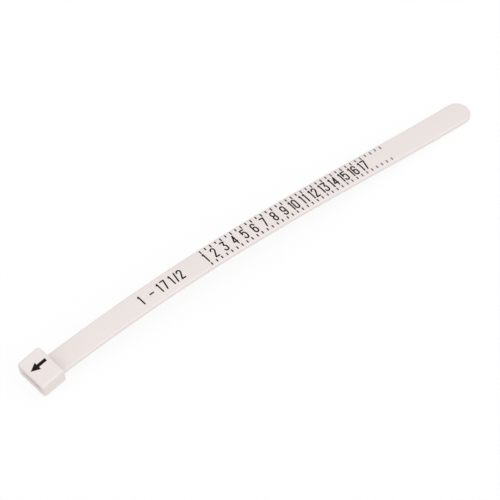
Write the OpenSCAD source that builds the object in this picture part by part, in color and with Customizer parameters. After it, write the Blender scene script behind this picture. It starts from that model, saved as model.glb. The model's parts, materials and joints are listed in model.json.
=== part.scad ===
// Strap ring sizer: a finger gauge moulded as one flat strap with a slotted head.
// The tail wraps round the finger, passes through the head, and the size is read at the arrow.
// The flexing strap is divided into short stiff sections, each joined to the next by a round knuckle.
// Millimetres. +Z up, +X from the head to the tip, resting on the head's end and on the tip.

/* [Strap] */
// Length from the head's outer end to the tip
overall_l = 110.45; // [95:0.05:130]
// Width of the strap
strap_w = 5; // [4.6:0.1:6.5]
// Thickness of the strap
strap_t = 1.2; // [0.9:0.05:1.6]
// Rounding of the strap's long edges and of the edges it rests on
edge_r = 0.4; // [0.15:0.05:0.42]

/* [Head] */
// Length of the head along the strap
head_l = 5.45; // [4.6:0.05:7]
// Room beside the strap in the head's slot, both sides together
slot_play_w = 0.4; // [0.2:0.05:0.8]
// Room above the strap in the head's slot
slot_play_h = 0.3; // [0.2:0.05:0.6]
// Thickness of the head's side walls
wall_t = 1.05; // [0.6:0.05:1.4]
// Thickness of the roof over the slot
roof_t = 1.05; // [0.5:0.05:1.2]
// Rounding of the head's upright and top edges
head_r = 0.5; // [0.3:0.05:0.6]
// Angle at which the head rises from the strap that it is moulded on to
head_pitch = 6; // [0:0.5:10]

/* [Bending sections] */
// Ring sizes spanned by one section of the strap
sizes_per_section = 2; // [2:2:4]
// Running clearance of the knuckle in its socket
hinge_play = 0.05; // [0.03:0.01:0.08]
// Least length of strap left on the head before the first knuckle
root_min = 2.5; // [2:0.1:4]
// Least length of the tip beyond the last knuckle
tip_min = 3.5; // [3.4:0.1:6]
// Curl of the free strap next to the head, in degrees a millimetre
curl_at_head = 0.21; // [0:0.01:0.4]
// Curl of the free strap in its middle, in degrees a millimetre
curl_at_middle = 0.18; // [0.05:0.01:0.4]
// Curl of the free strap next to the tip, in degrees a millimetre, upwards if negative
curl_at_tip = -0.21; // [-0.22:0.01:0.2]

/* [Scale] */
// Inner diameter that one whole ring size adds
size_step_d = 0.8128; // [0.75:0.0001:0.9]
// Distance of the first size's tick from the head's outer end
first_tick = 43.3; // [40:0.05:48]
// Last size that has a number
last_number = 17; // [9:1:17]
// Half sizes from the first tick to the last
half_sizes = 36; // [16:1:38]
// Distance of both tick rows from the strap's edges
row_margin = 0.42; // [0.42:0.02:0.6]
// Width of a tick
tick_w = 0.27; // [0.15:0.01:0.35]
// Length of a whole size's tick in the upper row
whole_tick_l = 0.75; // [0.4:0.05:0.8]
// Length of a half size's tick in the upper row
half_tick_l = 0.6; // [0.3:0.05:0.7]
// Length of every tick in the lower row
lower_tick_l = 0.66; // [0.3:0.01:0.8]
// Thickness of the printed ink
ink_t = 0.05; // [0.03:0.01:0.1]

/* [Numbers] */
// Clear space between the numbers and the longest ticks of the upper row
number_gap = 0.15; // [0.05:0.01:0.4]
// Width of a digit
digit_w = 1.1; // [0.8:0.05:1.2]
// Width of the pen stroke
stroke_w = 0.3; // [0.15:0.01:0.32]
// How far the first single digit after the 1 stands before its tick
single_lead = 0.43; // [0:0.01:0.5]
// How much more each further single digit leads its tick
lead_growth = 0.04; // [0:0.01:0.05]
// How far the second digit of a pair stands before its tick
pair_lead = 0.36; // [0:0.01:0.4]
// How much less a pair of two ones leads its ticks
ones_back = 0.22; // [0:0.01:0.3]

/* [Arrow] */
// Length of the arrow on the head
arrow_l = 3.8; // [2.5:0.1:3.8]
// Length of the arrow's point
arrow_head_l = 1.8; // [1:0.1:2]
// Width of the arrow's point
arrow_head_w = 1.9; // [1.2:0.1:2.4]
// Width of the arrow's shaft
arrow_shaft_w = 0.7; // [0.4:0.05:0.9]
// Distance of the arrow's point from the head's outer end
arrow_gap = 0.75; // [0.6:0.05:1]
// Distance of the arrow from the middle of the head
arrow_offset = 0.5; // [0:0.05:1]

/* [Hidden] */
$fn = 48;
over = 1;
plastic = [0.93, 0.90, 0.885];
ink = [0.13, 0.11, 0.10];

// Head sizes that follow from the strap it takes in
slot_w = strap_w + slot_play_w;
slot_h = strap_t + slot_play_h;
head_w = slot_w + 2 * wall_t;
head_h = strap_t + slot_h + roof_t;
bottom_z = -strap_t / 2;
top_z = strap_t / 2;

// The scale: one ring size adds its step in diameter times pi to the loop's length
half_pitch = PI * size_step_d / 2;
section_l = 2 * half_pitch * sizes_per_section;

// Knuckles stand midway between two ticks, at s = quarter_step + a whole number of sections.
// s is measured along the strap from the first tick.
quarter_step = half_pitch / 2;
sections_before = floor((first_tick + quarter_step - head_l - root_min) / section_l);
sections_after = floor((overall_l - first_tick - quarter_step - tip_min) / section_l);
hinge_count = sections_before + sections_after + 1;
section_count = hinge_count - 1;
first_hinge_s = quarter_step - sections_before * section_l;
root_l = first_tick + first_hinge_s;
tip_l = overall_l - root_l - section_count * section_l;
knuckle_r = strap_t / 2;
socket_r = knuckle_r + hinge_play;

// The arch: the curl is a parabola through its three named values, and a knuckle takes up the curl of one
// section. Headings add up along the strap, positive downwards.
function curl_along(u) = curl_at_head * (1 - u) * (1 - 2 * u) + curl_at_middle * 4 * u * (1 - u)
    + curl_at_tip * u * (2 * u - 1);
function bend(j) = curl_along((j - 1) / (hinge_count - 1)) * section_l;
function heading(j) = j < 1 ? 0 : heading(j - 1) + bend(j);
function along(a, d) = [cos(a) * d[0] + sin(a) * d[1], -sin(a) * d[0] + cos(a) * d[1]];
function hinge_at(j) = j <= 1 ? [0, 0] : hinge_at(j - 1) + along(heading(j - 1), [section_l, 0]);

// A point of the head, given by its distances from the outer end and from the underside. The head rises
// about the inner edge of its underside, which is flush with the strap.
head_edge = [head_l - root_l, bottom_z];
function head_point(d) = head_edge + along(-head_pitch, d - [head_l, 0]);

// The strap rests on the round edges at the head's outer end and at the tip
tip_turn = heading(hinge_count);
head_foot = head_point([edge_r, edge_r]);
tip_foot = hinge_at(hinge_count) + along(tip_turn, [tip_l - edge_r, bottom_z + edge_r]);
tilt = atan2(tip_foot[1] - head_foot[1], tip_foot[0] - head_foot[0]);

// The origin is under the middle of the part, at the height it rests on
head_brow = head_point([head_r, head_h - head_r]);
tip_brow = hinge_at(hinge_count) + along(tip_turn, [tip_l - edge_r, top_z - edge_r]);
low_x = along(tilt, head_brow)[0] - head_r;
high_x = along(tilt, tip_brow)[0] + edge_r;
lift = [-(low_x + high_x) / 2, edge_r - along(tilt, head_foot)[1]];

// Tick rows along both edges, and the height that is left between them for the numbers
row_y = strap_w / 2 - row_margin;
number_h = 2 * (row_y - whole_tick_l - number_gap);

// Which ticks, numbers and label signs stand on a section
function home(s) = floor((s - first_hinge_s) / section_l) + 1;
function local_x(s, j) = s - first_hinge_s - (j - 1) * section_l;
function ticks_on(j) = [for (i = [0 : half_sizes]) if (home(i * half_pitch) == j) i];
function number_s(n) = (n - 1) * 2 * half_pitch;
function numbers_on(j) = [for (n = [1 : last_number]) if (home(number_s(n)) == j) n];

// The range that the scale covers, written before it: a sign and its place in half-size steps
range_label = [
    ["1", -12.6], ["-", -10.6], ["1", -9], ["7", -8.05],
    ["1", -6.7], ["/", -5.9], ["2", -5]
];
function label_on(j) = [for (g = range_label) if (home(g[1] * half_pitch) == j) g];

// Names of the sections and of the print on them
function two_digits(j) = j < 10 ? str("0", j) : str(j);
function section_name(j) = str("strap_section_", two_digits(j));
function ticks_name(j) = str("size_ticks_", two_digits(j));
function numbers_name(j) = str("size_numbers_", two_digits(j));
function label_name(j) = str("range_label_", two_digits(j));
sections = [for (j = [1 : section_count]) j];
ticked = [for (j = sections) if (len(ticks_on(j)) > 0) j];
numbered = [for (j = sections) if (len(numbers_on(j)) > 0) j];
labelled = [for (j = sections) if (len(label_on(j)) > 0) j];

// Figures that the record of the part needs, in the part's own frame
function placed(p) = along(tilt, p) + lift;
for (j = [1 : hinge_count]) echo(hinge = j, at = placed(hinge_at(j)));
echo(head_heading = tilt - head_pitch, head_foot_face = placed(head_point([head_l / 2, 0])));
echo(hinges = hinge_count, root = root_l, tip = tip_l, number_height = number_h);

// Puts a section's own frame, with its knuckle at the origin, into the resting strap
module at_section(j) {
    p = placed(hinge_at(j));
    translate([p[0], 0, p[1]])
        rotate([0, tilt + heading(j), 0])
            children();
}

// The head lies before the first knuckle and has no bend of its own
module at_head() {
    p = placed([0, 0]);
    translate([p[0], 0, p[1]])
        rotate([0, tilt, 0])
            children();
}

// Puts the head's own frame, from its outer end and its underside, on to the root of the strap
module on_root() {
    at_head()
        translate([head_edge[0], 0, head_edge[1]])
            rotate([0, -head_pitch, 0])
                translate([-head_l, 0, 0])
                    children();
}

// Rectangle about the origin with round corners
module round_rect(w, h, r) {
    square([w - 2 * r, h], center = true);
    square([w, h - 2 * r], center = true);
    for (x = [-1, 1], y = [-1, 1])
        translate([x * (w / 2 - r), y * (h / 2 - r)])
            circle(r);
}

// Length of strap from x0 to x1, about its own middle plane
module strap_bar(x0, x1) {
    translate([x0, 0, 0])
        rotate([90, 0, 90])
            linear_extrude(x1 - x0)
                round_rect(strap_w, strap_t, edge_r);
}

// Round bar across the strap, on a knuckle's axis
module cross_bar(x, r) {
    translate([x, 0, 0])
        rotate([90, 0, 0])
            cylinder(r = r, h = strap_w + 2 * over, center = true);
}

// Strap from x0 to the knuckle at x1, with its round end
module knuckle_bar(x0, x1) {
    strap_bar(x0, x1);
    intersection() {
        strap_bar(x1 - knuckle_r, x1 + knuckle_r);
        cross_bar(x1, knuckle_r);
    }
}

// One stiff section: a socket round the knuckle before it, and a knuckle of its own
module strap_section(j) {
    color(plastic)
        at_section(j)
            difference() {
                knuckle_bar(0, section_l);
                cross_bar(0, socket_r);
            }
}

// The half-round end of the tail, with the strap's own edge all round
module strap_tip() {
    color(plastic)
        at_section(hinge_count)
            difference() {
                union() {
                    strap_bar(0, tip_l - strap_w / 2);
                    translate([tip_l - strap_w / 2, 0, 0])
                        rotate(-90)
                            rotate_extrude(angle = 180)
                                intersection() {
                                    round_rect(strap_w, strap_t, edge_r);
                                    translate([0, -strap_t])
                                        square([strap_w, 2 * strap_t]);
                                }
                }
                cross_bar(0, socket_r);
            }
}

// Block with round upright and top edges; its bottom edges have the strap's rounding
module head_block() {
    translate([head_l / 2, 0, head_h / 2])
        intersection() {
            rotate([90, 0, 0])
                linear_extrude(head_w + 2 * over, center = true)
                    head_outline(head_l);
            rotate([90, 0, 90])
                linear_extrude(head_l + 2 * over, center = true)
                    head_outline(head_w);
            linear_extrude(head_h + 2 * over, center = true)
                round_rect(head_l, head_w, head_r);
        }
}

// Side or front outline of the head: head_r at the top corners, edge_r at the bottom ones
module head_outline(w) {
    bottom = -head_h / 2;
    top = head_h / 2;
    translate([-w / 2 + edge_r, bottom])
        square([w - 2 * edge_r, edge_r]);
    translate([-w / 2, bottom + edge_r])
        square([w, head_h - edge_r - head_r]);
    translate([-w / 2 + head_r, top - head_r])
        square([w - 2 * head_r, head_r]);
    for (x = [-1, 1]) {
        translate([x * (w / 2 - edge_r), bottom + edge_r])
            circle(edge_r);
        translate([x * (w / 2 - head_r), top - head_r])
            circle(head_r);
    }
}

// The head and the root of the strap are one piece; the slot runs right through the head
module head() {
    color(plastic)
        difference() {
            union() {
                on_root()
                    head_block();
                at_head()
                    knuckle_bar(head_l / 2 - root_l, 0);
            }
            on_root()
                translate([-over, -slot_w / 2, strap_t])
                    cube([head_l + 2 * over, slot_w, slot_h]);
        }
}

// Printed arrow on the roof, pointing to the edge where the size is read
module arrow() {
    color(ink)
        on_root()
            translate([arrow_gap, arrow_offset, head_h])
                linear_extrude(ink_t)
                    polygon([
                        [0, 0],
                        [arrow_head_l, arrow_head_w / 2],
                        [arrow_head_l, arrow_shaft_w / 2],
                        [arrow_l, arrow_shaft_w / 2],
                        [arrow_l, -arrow_shaft_w / 2],
                        [arrow_head_l, -arrow_shaft_w / 2],
                        [arrow_head_l, -arrow_head_w / 2]
                    ]);
}

// A layer of ink on a section's flat top
module print_on(j) {
    color(ink)
        at_section(j)
            translate([0, 0, top_z])
                linear_extrude(ink_t)
                    children();
}

// Both tick rows of a section: whole sizes are longer in the upper row
module size_ticks(j) {
    print_on(j)
        for (i = ticks_on(j)) {
            upper_l = i % 2 == 0 ? whole_tick_l : half_tick_l;
            x = local_x(i * half_pitch, j) - tick_w / 2;
            translate([x, row_y - upper_l])
                square([tick_w, upper_l]);
            translate([x, -row_y])
                square([tick_w, lower_tick_l]);
        }
}

// Half sizes of a digit's pen line, between the middles of its strokes
pen_x = (digit_w - stroke_w) / 2;
pen_y = (number_h - stroke_w) / 2;
bowl_y = pen_y - pen_x;
// Height at which the two halves of a 3 meet
waist_y = pen_y / 5;

// Straight pen stroke with round ends
module stroke(p, q) {
    d = q - p;
    translate(p)
        rotate(atan2(d[1], d[0]))
            translate([0, -stroke_w / 2])
                square([norm(d), stroke_w]);
    for (c = [p, q])
        translate(c)
            circle(d = stroke_w);
}

// Pen stroke round c from angle a0 to a1, both in degrees, less than a half turn apart
module bow(c, a0, a1) {
    reach = 2 * digit_w;
    translate(c)
        intersection() {
            difference() {
                circle(pen_x + stroke_w / 2);
                circle(pen_x - stroke_w / 2);
            }
            polygon([
                [0, 0],
                reach * [cos(a0), sin(a0)],
                reach * [cos((a0 + a1) / 2), sin((a0 + a1) / 2)],
                reach * [cos(a1), sin(a1)]
            ]);
        }
}

// Half ring round c, from angle a0 to a half turn further on
module half_bow(c, a0) {
    bow(c, a0, a0 + 90);
    bow(c, a0 + 90, a0 + 180);
}

// Signs of the print, drawn about their own middle with round bowls and straight sides
module sign(g) {
    top_bowl = [0, bowl_y];
    base_bowl = [0, -bowl_y];
    if (g == "0") {
        half_bow(top_bowl, 0);
        half_bow(base_bowl, 180);
        stroke([-pen_x, -bowl_y], [-pen_x, bowl_y]);
        stroke([pen_x, -bowl_y], [pen_x, bowl_y]);
    }
    if (g == "1") {
        stroke([0, -pen_y], [0, pen_y]);
        stroke([-pen_x * 0.5, pen_y - pen_x * 0.6], [0, pen_y]);
    }
    if (g == "2") {
        half_bow(top_bowl, 0);
        stroke([pen_x, bowl_y], [pen_x * 0.9, bowl_y * 0.6]);
        stroke([pen_x * 0.9, bowl_y * 0.6], [-pen_x, -pen_y]);
        stroke([-pen_x, -pen_y], [pen_x, -pen_y]);
    }
    if (g == "3") {
        stroke([-pen_x, pen_y], [pen_x, pen_y]);
        stroke([pen_x, pen_y], [0, waist_y]);
        bow([0, waist_y - pen_x], 0, 90);
        stroke([pen_x, waist_y - pen_x], [pen_x, -bowl_y]);
        half_bow(base_bowl, 180);
    }
    if (g == "4") {
        stroke([pen_x * 0.6, -pen_y], [pen_x * 0.6, pen_y]);
        stroke([pen_x * 0.6, pen_y], [-pen_x, -pen_y * 0.4]);
        stroke([-pen_x, -pen_y * 0.4], [pen_x, -pen_y * 0.4]);
    }
    if (g == "5") {
        stroke([-pen_x, pen_y], [pen_x, pen_y]);
        stroke([-pen_x, pen_y], [-pen_x, pen_x * 0.5]);
        half_bow([0, pen_x * 0.5 - stroke_w / 2], 0);
        stroke([pen_x, pen_x * 0.5 - stroke_w / 2], [pen_x, -bowl_y]);
        half_bow(base_bowl, 180);
    }
    if (g == "6") {
        half_bow(top_bowl, 0);
        stroke([-pen_x, bowl_y], [-pen_x, -bowl_y]);
        half_bow([0, -pen_x * 0.6], 0);
        stroke([pen_x, -pen_x * 0.6], [pen_x, -bowl_y]);
        half_bow(base_bowl, 180);
    }
    if (g == "7") {
        stroke([-pen_x, pen_y], [pen_x, pen_y]);
        stroke([pen_x, pen_y], [-pen_x * 0.3, -pen_y]);
    }
    if (g == "8") {
        for (side = [-1, 1]) {
            half_bow([0, side * bowl_y], side > 0 ? 0 : 180);
            half_bow([0, side * pen_x], side > 0 ? 180 : 0);
            for (x = [-pen_x, pen_x])
                stroke([x, side * pen_x], [x, side * bowl_y]);
        }
    }
    if (g == "9")
        rotate(180)
            sign("6");
    if (g == "-")
        stroke([-pen_x, 0], [pen_x, 0]);
    if (g == "/")
        stroke([-pen_x * 0.5, -pen_y], [pen_x * 0.5, pen_y]);
}

// Numbers of a section: a single digit leads its tick more and more, and a pair has its 1 on the half
// size before, but for the two ones, which stand closer together
module size_numbers(j) {
    print_on(j)
        for (n = numbers_on(j)) {
            x = local_x(number_s(n), j);
            if (n == 1)
                translate([x, 0])
                    sign("1");
            else if (n < 10)
                translate([x - single_lead - (n - 2) * lead_growth, 0])
                    sign(str(n));
            else {
                back = n == 11 ? ones_back : 0;
                translate([x + back - half_pitch, 0])
                    sign("1");
                translate([x + back - pair_lead, 0])
                    sign(str(n - 10));
            }
        }
}

// Signs of the range label that stand on a section
module label_signs(j) {
    print_on(j)
        for (g = label_on(j))
            translate([local_x(g[1] * half_pitch, j), 0])
                sign(g[0]);
}

head();
arrow();
for (j = sections) {
    strap_section(j);
}
strap_tip();
for (j = ticked) {
    size_ticks(j);
}
for (j = numbered) {
    size_numbers(j);
}
for (j = labelled) {
    label_signs(j);
}
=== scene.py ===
import json
from math import pi, radians

import bmesh
import bpy
import numpy as np
from mathutils import Matrix, Vector

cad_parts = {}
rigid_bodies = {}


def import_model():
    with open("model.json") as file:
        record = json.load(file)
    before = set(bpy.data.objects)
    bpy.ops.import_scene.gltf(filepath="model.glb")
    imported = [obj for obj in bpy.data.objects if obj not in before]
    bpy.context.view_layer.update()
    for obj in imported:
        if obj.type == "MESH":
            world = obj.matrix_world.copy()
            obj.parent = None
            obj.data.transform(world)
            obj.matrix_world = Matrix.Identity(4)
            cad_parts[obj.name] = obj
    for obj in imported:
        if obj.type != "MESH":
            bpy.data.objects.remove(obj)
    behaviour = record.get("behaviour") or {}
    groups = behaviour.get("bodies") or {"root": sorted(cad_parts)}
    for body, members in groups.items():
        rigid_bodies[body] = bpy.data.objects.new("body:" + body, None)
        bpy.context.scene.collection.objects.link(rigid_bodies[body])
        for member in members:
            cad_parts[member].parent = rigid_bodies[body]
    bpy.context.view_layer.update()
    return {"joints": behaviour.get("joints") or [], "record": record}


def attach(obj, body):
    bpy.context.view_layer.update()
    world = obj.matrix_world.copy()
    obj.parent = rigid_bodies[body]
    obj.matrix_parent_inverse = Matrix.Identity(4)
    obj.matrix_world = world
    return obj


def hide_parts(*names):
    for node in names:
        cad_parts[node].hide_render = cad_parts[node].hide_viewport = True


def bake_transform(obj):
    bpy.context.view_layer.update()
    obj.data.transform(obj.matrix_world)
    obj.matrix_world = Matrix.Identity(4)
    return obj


bl_info = {
    "name": "Strap Ring Sizer",
    "version": (1, 0, 0),
    "blender": (4, 5, 0),
    "location": "View3D > Sidebar > Ring Sizer",
    "description": "Moulded strap ring sizer with its printed scale, and a stage for it",
    "category": "Object",
}

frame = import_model()
MM = 0.001
MICRON = MM / 1000

# Points nearer than this are one point, and edges that turn by more than this stay sharp
MERGED = 0.1 * MICRON
SHARP = radians(40)

# Everything on the strap is placed by s, the distance along it from the first knuckle,
# y across it and h above its middle plane. The knuckles and the head's slope come from the frame.
JOINTS = sorted(frame["joints"], key=lambda j: j["name"])
KNUCKLES = np.array([(j["pos_m"][0], j["pos_m"][2]) for j in JOINTS])
SECTION = float(np.linalg.norm(KNUCKLES[1] - KNUCKLES[0]))
UNDERSIDE = next(m for m in frame["record"]["mounts"] if m["name"] == "head_underside")


def strap_runs():
    """Unit direction of each stiff piece in XZ, from the root to the tip.
    A section's goes from knuckle to knuckle. The headings of the root and the tip go on from the four
    next to them as a cubic does, 4a - 6b + 4c - d."""
    steps = np.diff(KNUCKLES, axis=0)
    turn = np.arctan2(steps[:, 1], steps[:, 0])
    root, tip = turn[:4] @ (4, -6, 4, -1), turn[-4:] @ (-1, 4, -6, 4)
    turn = np.concatenate([[root], turn, [tip]])
    return np.stack([np.cos(turn), np.sin(turn)], axis=1)


RUNS = strap_runs()
HALF = SECTION / 2
LAST_S = (len(KNUCKLES) - 1) * SECTION
FOOT = np.array([UNDERSIDE["pos_m"][0], UNDERSIDE["pos_m"][2]])
HEAD_RUN = np.array([-UNDERSIDE["axis"][2], UNDERSIDE["axis"][0]])


def on_strap(s, y, h):
    """Points of the resting strap, as an array (..., 3).
    Between the middles of two stiff pieces the centre line is the quadratic curve
    (1-t)^2 A + 2t(1-t) K + t^2 B, with the knuckle K as its control point, so it runs on smoothly
    from one to the next. Before the first and after the last it is straight. h goes along the normal."""
    s, y, h = np.broadcast_arrays(s, y, h)
    kept = np.clip(s, -HALF, LAST_S + HALF)
    j = np.clip(np.rint(kept / SECTION).astype(int), 0, len(KNUCKLES) - 1)
    t = (kept / SECTION - j + 0.5)[..., None]
    k, before, after = KNUCKLES[j], RUNS[j] * HALF, RUNS[j + 1] * HALF
    line = (1 - t) ** 2 * (k - before) + 2 * t * (1 - t) * k + t**2 * (k + after)
    run = (1 - t) * before + t * after
    run = run / np.linalg.norm(run, axis=-1, keepdims=True)
    flat = line + run * (s - kept)[..., None]
    return np.stack([flat[..., 0] - run[..., 1] * h, y, flat[..., 1] + run[..., 0] * h], axis=-1)


def on_head(x, y, z):
    """Points of the head, as an array (..., 3), measured from the middle of its underside: x along its
    own slope towards the strap, y across it and z up through it."""
    x, y, z = np.broadcast_arrays(x, y, z)
    flat = FOOT + HEAD_RUN * x[..., None] + HEAD_RUN[::-1] * (-1, 1) * z[..., None]
    return np.stack([flat[..., 0], y, flat[..., 1]], axis=-1)


def linear(code):
    """sRGB hex colour as scene-linear red, green and blue."""
    c = np.array([int(code[i : i + 2], 16) for i in (1, 3, 5)]) / 255
    return tuple(np.where(c <= 0.04045, c / 12.92, ((c + 0.055) / 1.055) ** 2.4))


def length(name, description, mm):
    """A length property, with its default in millimetres."""
    return bpy.props.FloatProperty(
        name=name, description=description, default=mm * MM, unit="LENGTH", precision=5
    )


def colour(name, description, code):
    """A colour property, with its default as sRGB hex."""
    return bpy.props.FloatVectorProperty(
        name=name, description=description, default=linear(code), subtype="COLOR"
    )


def angle(name, description, degrees):
    """An angle property, with its default in degrees."""
    return bpy.props.FloatProperty(
        name=name, description=description, default=radians(degrees), subtype="ANGLE"
    )


class StrapSizes(bpy.types.PropertyGroup):
    """The flat strap and its half-round tip"""

    overall: length("Overall length", "From the head's outer end to the tip", 110.45)
    width: length("Width", "Width of the strap", 5.0)
    thickness: length("Thickness", "Thickness of the strap", 1.2)
    edge: length("Edge rounding", "Rounding of the long edges", 0.4)
    crown: length("Crown", "How far the upper face falls from its middle to its edges", 0.08)


class HeadSizes(bpy.types.PropertyGroup):
    """The slotted head"""

    depth: length("Length", "Length of the head along the strap", 5.45)
    room_w: length("Room beside", "Room beside the strap, both sides together", 0.4)
    room_h: length("Room above", "Room above the strap in the slot", 0.3)
    wall: length("Side wall", "Thickness of the side walls", 1.05)
    roof: length("Roof", "Thickness of the roof over the slot", 1.05)
    seat: length("Seat", "How far the slot's floor lies above the strap that runs in", 0.06)
    corner: length("Corner rounding", "Rounding of the edges along the strap", 0.5)
    end: length("End rounding", "Rounding of the end faces' edges", 0.5)
    mouth: length("Mouth rounding", "Rounding of the slot's rim", 0.3)


class PrintSizes(bpy.types.PropertyGroup):
    """The printed scale, its numbers and the arrow"""

    size_step: length("Size step", "Inner diameter that one ring size adds", 0.8128)
    first_tick: length("First tick", "First tick from the head's outer end", 43.3)
    half_sizes: bpy.props.IntProperty(
        name="Half sizes", description="Half sizes from first to last tick", default=36
    )
    last_number: bpy.props.IntProperty(
        name="Last number", description="Last size that has a number", default=17
    )
    row_margin: length("Row margin", "Distance of the tick rows from the edges", 0.42)
    tick: length("Tick width", "Width of a tick", 0.27)
    tick_corner: length("Tick corner", "Rounding of a tick's corners", 0.05)
    whole_tick: length("Whole tick", "Upper tick of a whole size", 0.75)
    half_tick: length("Half tick", "Upper tick of a half size", 0.6)
    lower_tick: length("Lower tick", "Ticks of the lower row", 0.66)
    number_gap: length("Number gap", "Space between numbers and long ticks", 0.15)
    digit: length("Digit width", "Width of a digit", 1.1)
    pen: length("Pen width", "Width of the pen stroke", 0.3)
    single_lead: length("Single lead", "The 2 stands this far before its tick", 0.43)
    lead_growth: length("Lead growth", "Each further single digit leads more", 0.04)
    pair_lead: length("Pair lead", "A pair's second digit stands this far before", 0.36)
    ones_back: length("Ones back", "A pair of two ones leads less", 0.22)
    ink: length("Ink height", "Height of the ink above the plastic", 0.02)
    arrow: length("Arrow length", "Length of the arrow", 3.8)
    point: length("Point length", "Length of the arrow's point", 1.8)
    point_w: length("Point width", "Width of the arrow's point", 1.9)
    shaft_w: length("Shaft width", "Width of the arrow's shaft", 0.7)
    arrow_gap: length("Arrow gap", "Arrow's point from the head's outer end", 0.75)
    arrow_side: length("Arrow offset", "Arrow from the middle of the head", 0.5)


class Finishes(bpy.types.PropertyGroup):
    """Colours of the plastic, the ink and the floor, and where the ink weakens"""

    plastic: colour("Plastic", "Warm white of the moulding", "#ECE4E1")
    plastic_deep: colour("Plastic, deeper", "Its slightly deeper flow marks", "#E9E0DD")
    ink: colour("Ink", "Near-black of the print", "#0C0909")
    ink_thin: colour("Thin ink", "Ink where it lies thinner", "#1C1716")
    ink_faint: colour("Faint ink", "Ink of the last ticks, where the print is weak", "#75706D")
    fade_from: length("Fade from", "x at which the ticks of the resting strap start to weaken", 8)
    fade_to: length("Fade to", "x from which they have the faint ink", 34)
    floor: colour("Floor", "Pale floor", "#FCFCFC")


class StageSettings(bpy.types.PropertyGroup):
    """Where the camera stands, as fitted to the photographed view, the light and the floor"""

    azimuth: angle("Azimuth", "Direction the camera stands in", -45.1187)
    elevation: angle("Elevation", "Height of the camera's view", 49.9521)
    roll: angle("Roll", "Turn of the picture", -5.1738)
    distance: length("Distance", "Camera from the point it looks at", 2057.931)
    aim: bpy.props.FloatVectorProperty(
        name="Aim",
        description="Point the camera looks at",
        default=(-2.2124 * MM, -2.1309 * MM, 2.8392 * MM),
        unit="LENGTH",
        precision=5,
    )
    lens: bpy.props.FloatProperty(name="Lens", description="Focal length in mm", default=780.48)
    tent_above: bpy.props.FloatProperty(
        name="Tent above", description="Strength of the light tent from above", default=0.66
    )
    tent_below: bpy.props.FloatProperty(
        name="Tent below", description="Strength of the light tent from below", default=0.56
    )
    softbox: bpy.props.FloatProperty(
        name="Softbox", description="Strength of the softbox", default=1.42
    )
    softbox_spread: angle("Softbox spread", "How wide the softbox stands in the strap's sky", 150)
    softbox_aim: bpy.props.FloatVectorProperty(
        name="Softbox aim",
        description="Direction that the softbox shines in",
        default=(0.3, 0.6, -0.74),
        subtype="DIRECTION",
    )
    floor_half: length("Floor", "From the floor's middle to its sides", 3000)


class RingSizerSettings(bpy.types.PropertyGroup):
    """All settings of the ring sizer"""

    strap: bpy.props.PointerProperty(type=StrapSizes)
    head: bpy.props.PointerProperty(type=HeadSizes)
    print: bpy.props.PointerProperty(type=PrintSizes)
    finish: bpy.props.PointerProperty(type=Finishes)
    stage: bpy.props.PointerProperty(type=StageSettings)


# Shells: closed surfaces as (points, faces)


def outline(half_w, half_h, r, steps=10):
    """Closed outlines of rectangles with round corners, anticlockwise, as (..., n, 2).
    Each corner is its centre plus r times the unit circle, and each side has points close to its ends,
    so that a flat side shades flat. Arrays of half_w, half_h and r give one outline for each entry."""
    half_w, half_h, r = (np.asarray(v)[..., None, None] for v in (half_w, half_h, r))
    quarter = np.arange(4)[:, None] * pi / 2
    a = quarter + np.linspace(0, pi / 2, steps)
    x = np.sign(np.cos(quarter + pi / 4)) * (half_w - r) + r * np.cos(a)
    y = np.sign(np.sin(quarter + pi / 4)) * (half_h - r) + r * np.sin(a)
    corners = np.stack([x, y], axis=-1)
    start, end = corners[..., -1:, :], np.roll(corners[..., :1, :], -1, axis=-3)
    share = np.array([0.03, 0.15, 0.3, 0.5, 0.7, 0.85, 0.97])[:, None]
    ring = np.concatenate([corners, start + share * (end - start)], axis=-2)
    return ring.reshape(*ring.shape[:-3], -1, 2)


def skin(grid, closed=False, caps=2):
    """Shell of a grid (rings, points, 3) of closed rings.
    Neighbouring rings are joined by quads. The last joins the first if closed; otherwise a polygon caps
    the first ring, and with two caps the last. The signed volume tells which way faces point outwards."""
    rings, ring = grid.shape[:2]
    i = np.arange(rings if closed else rings - 1)[:, None]
    k = np.arange(ring)[None, :]
    near, far, nxt = i * ring, (i + 1) % rings * ring, (k + 1) % ring
    quads = np.stack([near + k, near + nxt, far + nxt, far + k], -1).reshape(-1, 4)
    points = grid.reshape(-1, 3)
    q = points[quads] - points.mean(axis=0)
    fan = np.cross(q[:, 0], q[:, 1]) * q[:, 2] + np.cross(q[:, 0], q[:, 2]) * q[:, 3]
    ends = [np.arange(ring)[::-1], np.arange(ring) + (rings - 1) * ring]
    faces = [f.tolist() for f in [*quads, *ends[: 0 if closed else caps]]]
    if fan.sum() < 0:
        faces = [f[::-1] for f in faces]
    return points, faces


def add_piece(name, shells, recipe, slot, finish):
    """One object made of these shells, at the origin, with doubled points joined, and smooth except
    across sharp edges."""
    starts = np.cumsum([0] + [len(p) for p, _ in shells])
    points = np.concatenate([p for p, _ in shells])
    faces = [[i + at for i in f] for (_, fs), at in zip(shells, starts) for f in fs]
    mesh = bpy.data.meshes.new(name)
    mesh.from_pydata(points.tolist(), [], faces)
    joined = bmesh.new()
    joined.from_mesh(mesh)
    bmesh.ops.remove_doubles(joined, verts=joined.verts, dist=MERGED)
    joined.to_mesh(mesh)
    joined.free()
    mesh.polygons.foreach_set("use_smooth", np.ones(len(mesh.polygons), bool))
    mesh.set_sharp_from_angle(angle=SHARP)
    mesh.materials.append(get_material(recipe, finish))
    piece = bpy.data.objects.new(name, mesh)
    bpy.context.scene.collection.objects.link(piece)
    return piece


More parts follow.
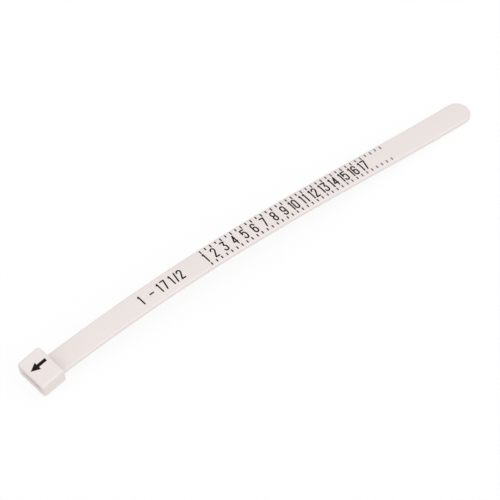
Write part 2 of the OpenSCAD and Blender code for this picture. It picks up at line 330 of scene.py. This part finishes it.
def crowned(y, h, strap):
    """Height of a point of the strap's section once its upper face is crowned.
    The face falls by c (2y / w)^2, and what lies lower falls in proportion to its height."""
    fall = strap.crown * (2 * y / strap.width) ** 2
    return np.where(h > 0, h * (1 - 2 * fall / strap.thickness), h)


def strap_outline(strap):
    """The strap's section across y and h: a flat bar with round edges and a crowned upper face."""
    ring = outline(strap.width / 2, strap.thickness / 2, strap.edge)
    return ring[:, 0], crowned(ring[:, 0], ring[:, 1], strap)


def strap_length(s0, s1, strap, rings):
    """Shell of the strap from s0 to s1: its section carried along the centre line."""
    return skin(on_strap(np.linspace(s0, s1, rings)[:, None], *strap_outline(strap)))


def bend_over_knuckle(piece, j):
    """Bakes the piece's placing into its points. The ends of its span over knuckle j on the strap's
    centre line are worked out but not used.
    """
    start, end = on_strap(np.array([j * SECTION - HALF, j * SECTION + HALF]), 0, 0)
    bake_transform(piece)


def outer_end(head):
    """s of the head's outer end: the head's length before the inner edge of its underside."""
    inner = FOOT + HEAD_RUN * head.depth / 2
    return float((inner - KNUCKLES[0]) @ RUNS[0]) - head.depth


# Materials


def add_node(tree, kind, inputs=None, **settings):
    """Adds a node with its settings. An input given as a socket is linked, any other is a value."""
    node = tree.nodes.new(kind)
    for key, value in settings.items():
        setattr(node, key, value)
    for key, value in (inputs or {}).items():
        if isinstance(value, bpy.types.NodeSocket):
            tree.links.new(value, node.inputs[key])
        else:
            node.inputs[key].default_value = value
    return node


def get_material(recipe, finish):
    """The material that a recipe makes, made at its first use and named after the recipe."""
    name = recipe.__name__
    if name not in bpy.data.materials:
        material = bpy.data.materials.new(name)
        material.use_nodes = True
        material.node_tree.nodes.clear()
        recipe(material.node_tree, finish)
    return bpy.data.materials[name]


# Sockets of the mix node for colours: factor, two colours and the result
FACTOR, COLOUR_A, COLOUR_B, MIXED = 0, 6, 7, 2
# Attribute of the ticks: x of each point while the strap rests
RESTING_X = "resting_x"


def moulded_polypropylene(tree, finish):
    """Warm white polypropylene, injection moulded in a fine satin mould."""
    # Gives the eye a soft sheen on the rounded edges, faint flow marks some millimetres long and
    # a grain of 0.15 mm, which is finer than the picture shows and only breaks the sheen.
    place = add_node(tree, "ShaderNodeTexCoord").outputs["Object"]
    flow = add_node(
        tree,
        "ShaderNodeTexNoise",
        {"Vector": place, "Scale": 1 / (6 * MM), "Detail": 2.0, "Roughness": 0.5},
    ).outputs["Fac"]
    grain = add_node(
        tree,
        "ShaderNodeTexNoise",
        {"Vector": place, "Scale": 1 / (0.15 * MM), "Detail": 2.0, "Roughness": 0.6},
    ).outputs["Fac"]
    tone = add_node(
        tree,
        "ShaderNodeMix",
        {FACTOR: flow, COLOUR_A: (*finish.plastic, 1), COLOUR_B: (*finish.plastic_deep, 1)},
        data_type="RGBA",
    ).outputs[MIXED]
    satin = add_node(
        tree,
        "ShaderNodeMapRange",
        {"Value": flow, "From Min": 0.3, "From Max": 0.7, "To Min": 0.6, "To Max": 0.7},
    ).outputs["Result"]
    waves = add_node(
        tree,
        "ShaderNodeBump",
        {"Height": flow, "Strength": 0.25, "Distance": 0.02 * MM},
    ).outputs["Normal"]
    relief = add_node(
        tree,
        "ShaderNodeBump",
        {"Height": grain, "Normal": waves, "Strength": 0.3, "Distance": 0.004 * MM},
    ).outputs["Normal"]
    shader = add_node(
        tree,
        "ShaderNodeBsdfPrincipled",
        {
            "Base Color": tone,
            "Roughness": satin,
            "Normal": relief,
            "IOR": 1.49,
            "Specular IOR Level": 0.2,
        },
    ).outputs["BSDF"]
    add_node(tree, "ShaderNodeOutputMaterial", {"Surface": shader})


def pad_printed_ink(tree, finish):
    """Near-black pad-printing ink, a thin matt film."""
    # Gives the eye a matt near-black whose film thins in spots of about 0.3 mm. The ticks weaken to grey
    # over the far half of the scale.
    place = add_node(tree, "ShaderNodeTexCoord").outputs["Object"]
    film = add_node(
        tree,
        "ShaderNodeTexNoise",
        {"Vector": place, "Scale": 1 / (0.3 * MM), "Detail": 3.0, "Roughness": 0.6},
    ).outputs["Fac"]
    tone = add_node(
        tree,
        "ShaderNodeMix",
        {FACTOR: film, COLOUR_A: (*finish.ink, 1), COLOUR_B: (*finish.ink_thin, 1)},
        data_type="RGBA",
    ).outputs[MIXED]
    along = add_node(tree, "ShaderNodeAttribute", attribute_name=RESTING_X).outputs["Fac"]
    weak = add_node(
        tree,
        "ShaderNodeMapRange",
        {"Value": along, "From Min": finish.fade_from, "From Max": finish.fade_to},
    ).outputs["Result"]
    tone = add_node(
        tree,
        "ShaderNodeMix",
        {FACTOR: weak, COLOUR_A: tone, COLOUR_B: (*finish.ink_faint, 1)},
        data_type="RGBA",
    ).outputs[MIXED]
    matt = add_node(
        tree, "ShaderNodeMapRange", {"Value": film, "To Min": 0.6, "To Max": 0.75}
    ).outputs["Result"]
    shader = add_node(
        tree,
        "ShaderNodeBsdfPrincipled",
        {"Base Color": tone, "Roughness": matt, "IOR": 1.5, "Specular IOR Level": 0.15},
    ).outputs["BSDF"]
    add_node(tree, "ShaderNodeOutputMaterial", {"Surface": shader})


def pale_floor(tree, finish):
    """Matt white sheet, mostly see-through: only a faint shadow lies on the white ground, and a loop
    that hangs below the sheet still shows."""
    matt = add_node(tree, "ShaderNodeBsdfDiffuse", {"Color": (*finish.floor, 1)}).outputs[0]
    clear = add_node(tree, "ShaderNodeBsdfTransparent").outputs[0]
    sheet = add_node(tree, "ShaderNodeMixShader", {0: 0.15, 1: clear, 2: matt}).outputs[0]
    add_node(tree, "ShaderNodeOutputMaterial", {"Surface": sheet})


# Print


def arc(cx, cy, r, a0, a1, steps=24):
    """Points of a circular arc from angle a0 to a1, in degrees."""
    a = np.radians(np.linspace(a0, a1, steps))
    return np.stack([cx + r * np.cos(a), cy + r * np.sin(a)], axis=1)


def sign_paths(sign, pen_x, pen_y, pen):
    """Pen lines of a sign about its own middle, as (points, closed) pairs.
    Bowls are half circles of radius pen_x, joined by straight sides; two strokes that meet at a sharp
    corner are two lines."""
    b, r, waist = pen_y - pen_x, pen_x, pen_y / 5
    top, base = arc(0, b, r, 180, 0), arc(0, -b, r, 0, -180)

    def bar(start, end):
        return np.linspace(start, end, 13)

    right = bar((r, b), (r, -b))[1:-1]
    if sign == "9":
        return [(-p, c) for p, c in sign_paths("6", pen_x, pen_y, pen)]
    shapes = {
        "0": [(np.vstack([top, right, base, -right]), True)],
        "1": [
            (bar((0, -pen_y), (0, pen_y)), False),
            (bar((-0.5 * r, pen_y - 0.6 * r), (0, pen_y)), False),
        ],
        "2": [
            (np.vstack([top, bar((0.9 * r, 0.6 * b), (-r, -pen_y))]), False),
            (bar((-r, -pen_y), (r, -pen_y)), False),
        ],
        "3": [
            (bar((-r, pen_y), (r, pen_y)), False),
            (bar((r, pen_y), (0, waist)), False),
            (np.vstack([arc(0, waist - r, r, 90, 0), base]), False),
        ],
        "4": [
            (bar((0.6 * r, -pen_y), (0.6 * r, pen_y)), False),
            (bar((0.6 * r, pen_y), (-r, -0.4 * pen_y)), False),
            (bar((-r, -0.4 * pen_y), (r, -0.4 * pen_y)), False),
        ],
        "5": [
            (bar((-r, pen_y), (r, pen_y)), False),
            (bar((-r, pen_y), (-r, 0.5 * r)), False),
            (np.vstack([arc(0, 0.5 * r - pen / 2, r, 180, 0), base]), False),
        ],
        "6": [
            (np.vstack([top[::-1], -right[::-1], base[::-1], arc(0, -0.6 * r, r, 0, 180)]), False)
        ],
        "7": [
            (bar((-r, pen_y), (r, pen_y)), False),
            (bar((r, pen_y), (-0.3 * r, -pen_y)), False),
        ],
        "8": [
            (np.vstack([top, arc(0, r, r, 0, -180)]), True),
            (np.vstack([base, arc(0, -r, r, 180, 0)]), True),
        ],
        "-": [(bar((-r, 0), (r, 0)), False)],
        "/": [(bar((-0.5 * r, -pen_y), (0.5 * r, pen_y)), False)],
    }
    return shapes[sign]


def ink_line(path, closed, width, corner, lift, settings):
    """Shell of a line of ink on the strap, along a path in (s, y).
    Half its width goes to each side of the path. At an open end it runs on by e = corner sin(a), and
    its half width falls to width/2 - corner + corner cos(a), so its corners are round. It reaches as
    far into the plastic as it stands above it, plus the lift."""
    if closed:
        run = np.roll(path, -1, axis=0) - np.roll(path, 1, axis=0)
        half = np.full(len(path), width / 2)
    else:
        run = np.gradient(path, axis=0)
        a = np.radians([84, 66, 45, 22])
        ends = run[[0, -1]] / np.linalg.norm(run[[0, -1]], axis=1, keepdims=True)
        lead = path[0] - ends[0] * corner * np.sin(a)[:, None]
        tail = path[-1] + ends[1] * corner * np.sin(a[::-1])[:, None]
        narrow = width / 2 - corner + corner * np.cos(a)
        half = np.concatenate([narrow, np.full(len(path), width / 2), narrow[::-1]])
        path = np.vstack([lead, path, tail])
        run = np.vstack([run[[0] * len(a)], run, run[[-1] * len(a)]])
    run = run / np.linalg.norm(run, axis=1, keepdims=True)
    side = np.stack([-run[:, 1], run[:, 0]], axis=1) * half[:, None]
    left, right = path + side, path - side
    ring = np.stack([right, left, left, right], axis=1)
    face, ink = settings.strap.thickness / 2, settings.print.ink
    level = np.array([-ink, -ink, ink + lift, ink + lift])
    h = crowned(ring[..., 1], np.array(face), settings.strap) + level
    return skin(on_strap(ring[..., 0], ring[..., 1], h), closed)


def row_y(settings):
    """Distance of the tick rows' outer ends from the strap's middle."""
    return settings.strap.width / 2 - settings.print.row_margin


def print_sign(sign, s, settings):
    """Shells of one sign with its middle at s. Each further stroke lies a micron higher."""
    sizes = settings.print
    height = 2 * (row_y(settings) - sizes.whole_tick - sizes.number_gap)
    pen_x, pen_y = (sizes.digit - sizes.pen) / 2, (height - sizes.pen) / 2
    paths = sign_paths(sign, pen_x, pen_y, sizes.pen)
    return [
        ink_line(path + (s, 0), closed, sizes.pen, sizes.pen / 2, k * MICRON, settings)
        for k, (path, closed) in enumerate(paths)
    ]


def half_pitch(sizes):
    """Half a ring size along the loop: its step in diameter times pi, halved."""
    return pi * sizes.size_step / 2


def tick_s(i, settings):
    """s of the tick that lies i half sizes after the first."""
    first = outer_end(settings.head) + settings.print.first_tick
    return first + i * half_pitch(settings.print)


def keep_resting_x(mesh):
    """Keeps x of each point on the mesh, so that a change along the scale stays in place as it bends.
    Print without it doesn't weaken."""
    places = np.empty(3 * len(mesh.vertices), np.float32)
    mesh.vertices.foreach_get("co", places)
    mesh.attributes.new(RESTING_X, "FLOAT", "POINT").data.foreach_set("value", places[::3])


def print_over_knuckles(stem, marks, finish):
    """Makes and returns one piece for each knuckle that has marks near it, given as (s, shells).
    The piece over knuckle j stands for the ink node of the section before it."""
    near, pieces = {}, []
    for s, shells in marks:
        near.setdefault(int(np.rint(s / SECTION)), []).extend(shells)
    for j, shells in sorted(near.items()):
        name = f"{stem}_bend_{j + 1:02d}"
        piece = add_piece(name, shells, pad_printed_ink, "print_ink", finish)
        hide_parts(f"{stem}_{j:02d}")
        bend_over_knuckle(piece, j)
        pieces.append(piece)
    return pieces


class RINGSIZER_OT_strap(bpy.types.Operator):
    """Make the strap, one piece over each knuckle, and its half-round tip"""

    bl_idname = "ring_sizer.strap"
    bl_label = "Strap"

    def execute(self, context):
        settings = context.scene.ring_sizer
        look = moulded_polypropylene, "strap_plastic", settings.finish
        for j in range(len(JOINTS)):
            middle = j * SECTION
            shell = strap_length(middle - HALF, middle + HALF, settings.strap, rings=25)
            piece = add_piece(f"strap_bend_{j + 1:02d}", [shell], *look)
            if j < len(JOINTS) - 1:
                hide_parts(f"strap_section_{j + 1:02d}")
            bend_over_knuckle(piece, j)
        tip = add_piece("strap_end", [self.tip_shell(settings)], *look)
        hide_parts("strap_tip")
        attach(tip, JOINTS[-1]["child"])
        return {"FINISHED"}

    @staticmethod
    def tip_shell(settings):
        """Half-round end: the strap's section goes straight on to the middle of the round, and then
        both its halves swing forwards about that middle, to s + |y| sin(a) and y cos(a), until they
        meet in front."""
        strap = settings.strap
        middle = outer_end(settings.head) + strap.overall - strap.width / 2
        y, h = strap_outline(strap)
        straight = np.linspace(LAST_S + HALF, middle, 4)[:-1]
        swing = np.linspace(0, pi / 2, 49)
        s = np.append(straight, np.full(len(swing), middle))[:, None]
        a = np.append(np.zeros(len(straight)), swing)[:, None]
        return skin(on_strap(s + np.abs(y) * np.sin(a), y * np.cos(a), h), caps=1)


class RINGSIZER_OT_head(bpy.types.Operator):
    """Make the slotted head with the root of the strap"""

    bl_idname = "ring_sizer.head"
    bl_label = "Head"

    def execute(self, context):
        settings = context.scene.ring_sizer
        head = settings.head
        inside = outer_end(head) + head.depth - head.corner
        root = strap_length(inside, -HALF, settings.strap, rings=8)
        shells = [self.block_shell(settings), root]
        piece = add_piece(
            "head_block", shells, moulded_polypropylene, "strap_plastic", settings.finish
        )
        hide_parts("head")
        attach(piece, JOINTS[0]["parent"])
        return {"FINISHED"}

    @staticmethod
    def block_shell(settings):
        """A closed ring of wall round the slot. Its outlines go from the middle along the outside, round
        the end's edge, by r (1 - cos a) inwards and r sin a outwards, over the end face, round the slot's
        rim in the same way, and back along the slot; the other half is the mirror image. The slot's
        floor lies high enough to cover the root of the strap, which runs in at the head's angle."""
        head, strap = settings.head, settings.strap
        seat = strap.thickness + head.seat
        slot_top = 2 * strap.thickness + head.room_h
        slot_w, slot_h = strap.width + head.room_w, slot_top - seat
        wide, high = slot_w + 2 * head.wall, slot_top + head.roof
        half_l, r, m = head.depth / 2, head.end, head.mouth
        a = np.linspace(0, pi / 2, 10)
        along = np.linspace(0, 1, 6)
        inset = np.append(0 * along[:-1], r * (1 - np.cos(a)))
        out_x = np.append(along[:-1] * (half_l - r), half_l - r + r * np.sin(a))
        flare = np.append(m * (1 - np.sin(a)), 0 * along[1:])
        slot_x = np.append(half_l - m + m * np.cos(a), (1 - along[1:]) * (half_l - m))
        half_w = np.append(wide / 2 - inset, slot_w / 2 + flare)
        half_h = np.append(high / 2 - inset, slot_h / 2 + flare)
        round_r = np.append(head.corner - inset, m + flare)
        mid_h = np.append(
            np.full(len(inset), high / 2),
            np.full(len(flare), seat + slot_h / 2),
        )
        x = np.append(out_x, slot_x)
        there = np.arange(len(x))
        order = np.append(there, there[-2:0:-1])
        x = np.append(x, -x[-2:0:-1])[:, None]
        ring = outline(half_w, half_h, round_r)[order]
        return skin(on_head(x, ring[..., 0], mid_h[order, None] + ring[..., 1]), closed=True)


class RINGSIZER_OT_ticks(bpy.types.Operator):
    """Print the two rows of ticks"""

    bl_idname = "ring_sizer.ticks"
    bl_label = "Ticks"

    def execute(self, context):
        settings = context.scene.ring_sizer
        sizes, edge = settings.print, row_y(settings)
        corner = sizes.tick_corner
        marks = []
        for i in range(sizes.half_sizes + 1):
            s = tick_s(i, settings)
            upper = sizes.whole_tick if i % 2 == 0 else sizes.half_tick
            spans = [(edge - upper, edge), (-edge, sizes.lower_tick - edge)]
            paths = [np.array([(s, low + corner), (s, high - corner)]) for low, high in spans]
            marks.append((s, [ink_line(p, False, sizes.tick, corner, 0, settings) for p in paths]))
        for piece in print_over_knuckles("size_ticks", marks, settings.finish):
            keep_resting_x(piece.data)
        return {"FINISHED"}


class RINGSIZER_OT_numbers(bpy.types.Operator):
    """Print the size numbers"""

    bl_idname = "ring_sizer.numbers"
    bl_label = "Numbers"

    def execute(self, context):
        settings = context.scene.ring_sizer
        sizes = settings.print
        marks = []
        for n in range(1, sizes.last_number + 1):
            s = tick_s(2 * (n - 1), settings)
            if n == 1:
                signs = [("1", s)]
            elif n < 10:
                signs = [(str(n), s - sizes.single_lead - (n - 2) * sizes.lead_growth)]
            else:
                at = s + sizes.ones_back if n == 11 else s
                signs = [("1", at - half_pitch(sizes)), (str(n - 10), at - sizes.pair_lead)]
            marks += [(s, print_sign(g, at, settings)) for g, at in signs]
        print_over_knuckles("size_numbers", marks, settings.finish)
        return {"FINISHED"}


class RINGSIZER_OT_range_label(bpy.types.Operator):
    """Print the range that the scale covers, before its first number"""

    bl_idname = "ring_sizer.range_label"
    bl_label = "Range label"

    def execute(self, context):
        settings = context.scene.ring_sizer
        # Each sign and its place, in half sizes from the first tick
        signs = [("1", -12.6), ("-", -10.6), ("1", -9), ("7", -8.05)]
        signs += [("1", -6.7), ("/", -5.9), ("2", -5)]
        places = [(sign, tick_s(step, settings)) for sign, step in signs]
        marks = [(s, print_sign(sign, s, settings)) for sign, s in places]
        print_over_knuckles("range_label", marks, settings.finish)
        return {"FINISHED"}


class RINGSIZER_OT_arrow(bpy.types.Operator):
    """Print the arrow on the head"""

    bl_idname = "ring_sizer.arrow"
    bl_label = "Arrow"

    def execute(self, context):
        settings = context.scene.ring_sizer
        shells = [self.arrow_shell(settings)]
        piece = add_piece("arrow_print", shells, pad_printed_ink, "print_ink", settings.finish)
        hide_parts("arrow")
        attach(piece, JOINTS[0]["parent"])
        return {"FINISHED"}

    @staticmethod
    def arrow_shell(settings):
        """The arrow's flat outline, once in the roof and once on it: its point, both barbs and the
        shaft's four corners."""
        sizes, head, strap = settings.print, settings.head, settings.strap
        roof = 2 * strap.thickness + head.room_h + head.roof
        tip = sizes.arrow_gap - head.depth / 2
        barb, end = tip + sizes.point, tip + sizes.arrow
        half, thin = sizes.point_w / 2, sizes.shaft_w / 2
        x = np.array([tip, barb, barb, end, end, barb, barb])
        y = np.array([0, half, thin, thin, -thin, -thin, -half]) + sizes.arrow_side
        z = roof + np.array([[-sizes.ink], [sizes.ink]])
        return skin(on_head(x, y, z))


class RINGSIZER_OT_stage(bpy.types.Operator):
    """Make the floor, the soft studio light and the camera"""

    bl_idname = "ring_sizer.stage"
    bl_label = "Stage"

    def execute(self, context):
        scene = context.scene
        settings = scene.ring_sizer
        scene.view_settings.view_transform = "Standard"
        self.make_floor(scene, settings)
        self.make_world(scene, settings.stage)
        self.make_lamp(scene, settings.stage)
        self.make_camera(scene, settings.stage)
        return {"FINISHED"}

    @staticmethod
    def make_floor(scene, settings):
        """A wide sheet at the height that the strap rests on."""
        mesh = bpy.data.meshes.new("floor")
        corners = np.array([(-1, -1, 0), (1, -1, 0), (1, 1, 0), (-1, 1, 0)])
        mesh.from_pydata((corners * settings.stage.floor_half).tolist(), [], [(0, 1, 2, 3)])
        mesh.materials.append(get_material(pale_floor, settings.finish))
        floor = bpy.data.objects.new("floor", mesh)
        scene.collection.objects.link(floor)

    @staticmethod
    def make_world(scene, stage):
        """White ground behind the floor for the camera. Everything else gets the light of a tent, which
        weakens downwards as the height of its direction goes from 0.4 to -0.4."""
        world = bpy.data.worlds.new("light_tent")
        world.use_nodes = True
        tree = world.node_tree
        tree.nodes.clear()
        towards = add_node(tree, "ShaderNodeTexCoord").outputs["Generated"]
        height = add_node(tree, "ShaderNodeSeparateXYZ", {"Vector": towards}).outputs["Z"]
        light = add_node(
            tree,
            "ShaderNodeMapRange",
            {
                "Value": height,
                "From Min": -0.4,
                "From Max": 0.4,
                "To Min": stage.tent_below,
                "To Max": stage.tent_above,
            },
        ).outputs["Result"]
        seen = add_node(tree, "ShaderNodeLightPath").outputs["Is Camera Ray"]
        strength = add_node(
            tree, "ShaderNodeMapRange", {"Value": seen, "To Min": light, "To Max": 1.0}
        ).outputs["Result"]
        ground = add_node(
            tree, "ShaderNodeBackground", {"Color": (1, 1, 1, 1), "Strength": strength}
        ).outputs[0]
        add_node(tree, "ShaderNodeOutputWorld", {"Surface": ground})
        scene.world = world

    @staticmethod
    def make_lamp(scene, stage):
        """A broad soft light from above the camera's side, even along the whole strap."""
        lamp = bpy.data.lights.new("softbox", "SUN")
        lamp.energy, lamp.angle = stage.softbox, stage.softbox_spread
        softbox = bpy.data.objects.new("softbox", lamp)
        aim = Vector(stage.softbox_aim)
        softbox.rotation_euler = aim.to_track_quat("-Z", "Y").to_euler()
        scene.collection.objects.link(softbox)

    @staticmethod
    def make_camera(scene, stage):
        """Camera on a sphere round its aim, turned by the roll about its own axis."""
        lens = bpy.data.cameras.new("camera")
        lens.lens, lens.sensor_width = stage.lens, 36
        lens.clip_start, lens.clip_end = 0.05, 20
        camera = bpy.data.objects.new("camera", lens)
        turn = (
            Matrix.Rotation(stage.azimuth, 4, "Z")
            @ Matrix.Rotation(pi / 2 - stage.elevation, 4, "X")
            @ Matrix.Rotation(-stage.roll, 4, "Z")
        )
        back = Matrix.Translation((0, 0, stage.distance))
        camera.matrix_world = Matrix.Translation(Vector(stage.aim)) @ turn @ back
        scene.collection.objects.link(camera)
        scene.camera = camera


class RINGSIZER_PT_sidebar(bpy.types.Panel):
    """Sizes, colours and the steps that make the ring sizer"""

    bl_idname = "RINGSIZER_PT_sidebar"
    bl_label = "Strap Ring Sizer"
    bl_space_type = "VIEW_3D"
    bl_region_type = "UI"
    bl_category = "Ring Sizer"

    def draw(self, context):
        settings = context.scene.ring_sizer
        for group in ("strap", "head", "print", "finish", "stage"):
            box = self.layout.box()
            box.label(text=group.capitalize())
            values = getattr(settings, group)
            for key in values.__annotations__:
                box.prop(values, key)
        for operator in OPERATORS:
            self.layout.operator(operator.bl_idname)


GROUPS = (StrapSizes, HeadSizes, PrintSizes, Finishes, StageSettings, RingSizerSettings)
OPERATORS = (
    RINGSIZER_OT_strap,
    RINGSIZER_OT_head,
    RINGSIZER_OT_ticks,
    RINGSIZER_OT_numbers,
    RINGSIZER_OT_range_label,
    RINGSIZER_OT_arrow,
    RINGSIZER_OT_stage,
)
CLASSES = (*GROUPS, *OPERATORS, RINGSIZER_PT_sidebar)


def register():
    for cls in CLASSES:
        bpy.utils.register_class(cls)
    bpy.types.Scene.ring_sizer = bpy.props.PointerProperty(type=RingSizerSettings)


def unregister():
    del bpy.types.Scene.ring_sizer
    for cls in reversed(CLASSES):
        bpy.utils.unregister_class(cls)


def main():
    """Registers the add-on and makes every piece and the stage."""
    register()
    bpy.ops.ring_sizer.strap()
    bpy.ops.ring_sizer.head()
    bpy.ops.ring_sizer.ticks()
    bpy.ops.ring_sizer.numbers()
    bpy.ops.ring_sizer.range_label()
    bpy.ops.ring_sizer.arrow()
    bpy.ops.ring_sizer.stage()


if __name__ == "__main__":
    main()
